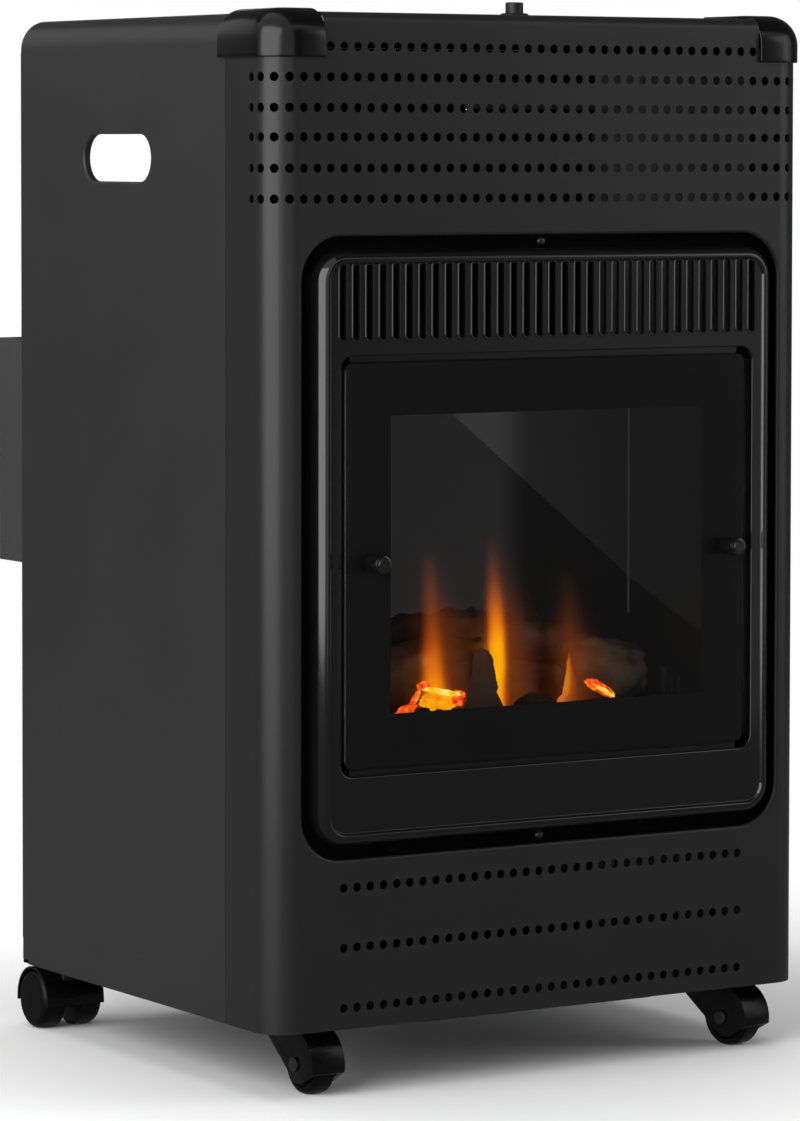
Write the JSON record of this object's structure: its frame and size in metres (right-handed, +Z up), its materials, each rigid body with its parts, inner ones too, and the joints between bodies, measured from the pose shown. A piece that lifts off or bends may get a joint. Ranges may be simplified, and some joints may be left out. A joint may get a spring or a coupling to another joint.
{
  "type": "portable gas cabinet heater",
  "caption": "Freestanding gas cabinet heater on swivel casters: perforated wrap-round front, ceramic log fire behind glass, side grip holes, top knob and rear bottle bay with a lift-off guard.",
  "frame": {"origin": "on the floor under the middle of the heater's outer box", "axes": "+X to the heater's right seen from the front, +Y to its back, +Z up"},
  "size_m": [0.4236, 0.4052, 0.709],
  "materials": {
    "casing": "satin powder coat",
    "caps": "satin",
    "insert": "gloss",
    "glass": "clear, dark border",
    "seal": "woven glass fibre",
    "studs": "gloss",
    "plated_steel": "zinc plated",
    "bare_sheet": "galvanised",
    "fire_sheet": "heat-proof matt",
    "burner_steel": "heat-stained",
    "logs": "rough ceramic fibre",
    "coals": "glowing",
    "knob": "satin",
    "igniter": "satin",
    "valve": "die-cast",
    "brass": "turned",
    "pipe": "drawn",
    "caster_body": "satin",
    "caster_wheel": "satin",
    "caster_pin": "zinc plated"
  },
  "bodies": {
    "cabinet": {"base_pan": "casing", "burner_deck": "fire_sheet", "burner_tray": "fire_sheet", "burner_tube": "burner_steel", "control_well": "casing", "corner_cap_left": "caps", "corner_cap_right": "caps", "ember_coals": "coals", "feed_pipe": "pipe", "firebox_back": "fire_sheet", "firebox_floor": "fire_sheet", "firebox_roof": "fire_sheet", "firebox_side_left": "fire_sheet", "firebox_side_right": "fire_sheet", "front_shell": "casing", "gas_valve": "valve", "glass_panel": "glass", "glass_seal": "seal", "glass_studs": "studs", "igniter_body": "igniter", "ignition_electrode": "burner_steel", "injector": "brass", "injector_bracket": "bare_sheet", "inlet_nozzle": "brass", "insert_panel": "insert", "insert_screws": "plated_steel", "log_left": "logs", "log_middle": "logs", "log_rear": "logs", "log_right": "logs", "mixing_tube": "burner_steel", "partition_panel": "bare_sheet", "pilot_burner": "burner_steel", "side_panel_left": "casing", "side_panel_right": "casing", "stem_sockets": "plated_steel", "thermocouple": "pipe", "top_panel": "casing"},
    "caster_front_left": {"front_fork_left": "caster_body", "front_axle_left": "caster_pin", "front_stem_left": "caster_pin"},
    "wheel_front_left": {"front_wheel_left": "caster_wheel"},
    "caster_rear_left": {"rear_body_left": "caster_body", "rear_axle_left": "caster_pin", "rear_stem_left": "caster_pin"},
    "wheel_rear_left_a": {"rear_wheel_left_a": "caster_wheel"},
    "wheel_rear_left_b": {"rear_wheel_left_b": "caster_wheel"},
    "caster_front_right": {"front_fork_right": "caster_body", "front_axle_right": "caster_pin", "front_stem_right": "caster_pin"},
    "wheel_front_right": {"front_wheel_right": "caster_wheel"},
    "caster_rear_right": {"rear_body_right": "caster_body", "rear_axle_right": "caster_pin", "rear_stem_right": "caster_pin"},
    "wheel_rear_right_a": {"rear_wheel_right_a": "caster_wheel"},
    "wheel_rear_right_b": {"rear_wheel_right_b": "caster_wheel"},
    "spindle": {"valve_spindle": "plated_steel"},
    "knob": {"control_knob": "knob"},
    "igniter_button": {"igniter_button": "igniter"},
    "guard": {"bottle_guard": "casing"}
  },
  "joints": [
    {"name": "front_swivel_left", "type": "hinge", "parent": "cabinet", "child": "caster_front_left", "pos_m": [-0.1642, -0.12335, 0.045], "axis": [0, 0, 1], "continuous": true},
    {"name": "front_wheel_spin_left", "type": "hinge", "parent": "caster_front_left", "child": "wheel_front_left", "pos_m": [-0.1642, -0.15335, 0.0195], "axis": [-1, 0, 0], "continuous": true},
    {"name": "front_swivel_right", "type": "hinge", "parent": "cabinet", "child": "caster_front_right", "pos_m": [0.1642, -0.12335, 0.045], "axis": [0, 0, 1], "continuous": true},
    {"name": "front_wheel_spin_right", "type": "hinge", "parent": "caster_front_right", "child": "wheel_front_right", "pos_m": [0.17095, -0.15258, 0.0195], "axis": [-0.9744, -0.225, 0], "continuous": true},
    {"name": "rear_swivel_left", "type": "hinge", "parent": "cabinet", "child": "caster_rear_left", "pos_m": [-0.185, 0.13665, 0.045], "axis": [0, 0, 1], "continuous": true},
    {"name": "rear_wheel_spin_left_a", "type": "hinge", "parent": "caster_rear_left", "child": "wheel_rear_left_a", "pos_m": [-0.185, 0.15065, 0.02], "axis": [1, 0, 0], "continuous": true},
    {"name": "rear_wheel_spin_left_b", "type": "hinge", "parent": "caster_rear_left", "child": "wheel_rear_left_b", "pos_m": [-0.185, 0.15065, 0.02], "axis": [1, 0, 0], "continuous": true},
    {"name": "rear_swivel_right", "type": "hinge", "parent": "cabinet", "child": "caster_rear_right", "pos_m": [0.185, 0.13665, 0.045], "axis": [0, 0, 1], "continuous": true},
    {"name": "rear_wheel_spin_right_a", "type": "hinge", "parent": "caster_rear_right", "child": "wheel_rear_right_a", "pos_m": [0.185, 0.15065, 0.02], "axis": [1, 0, 0], "continuous": true},
    {"name": "rear_wheel_spin_right_b", "type": "hinge", "parent": "caster_rear_right", "child": "wheel_rear_right_b", "pos_m": [0.185, 0.15065, 0.02], "axis": [1, 0, 0], "continuous": true},
    {"name": "knob_push", "type": "slide", "parent": "cabinet", "child": "spindle", "axis": [0, 0, -1], "range_m": [0, 0.003], "stiffness_N_per_m": 1500, "springref_m": -0.002},
    {"name": "knob_turn", "type": "hinge", "parent": "spindle", "child": "knob", "pos_m": [0, -0.01435, 0.68], "axis": [0, 0, 1], "range_deg": [-210, 0]},
    {"name": "igniter_press", "type": "slide", "parent": "cabinet", "child": "igniter_button", "axis": [0, 0, -1], "range_m": [0, 0.006], "stiffness_N_per_m": 1200, "springref_m": -0.003},
    {"name": "guard_lift", "type": "slide", "parent": "cabinet", "child": "guard", "axis": [0, 0, 1], "range_m": [0, 0.012]}
  ]
}
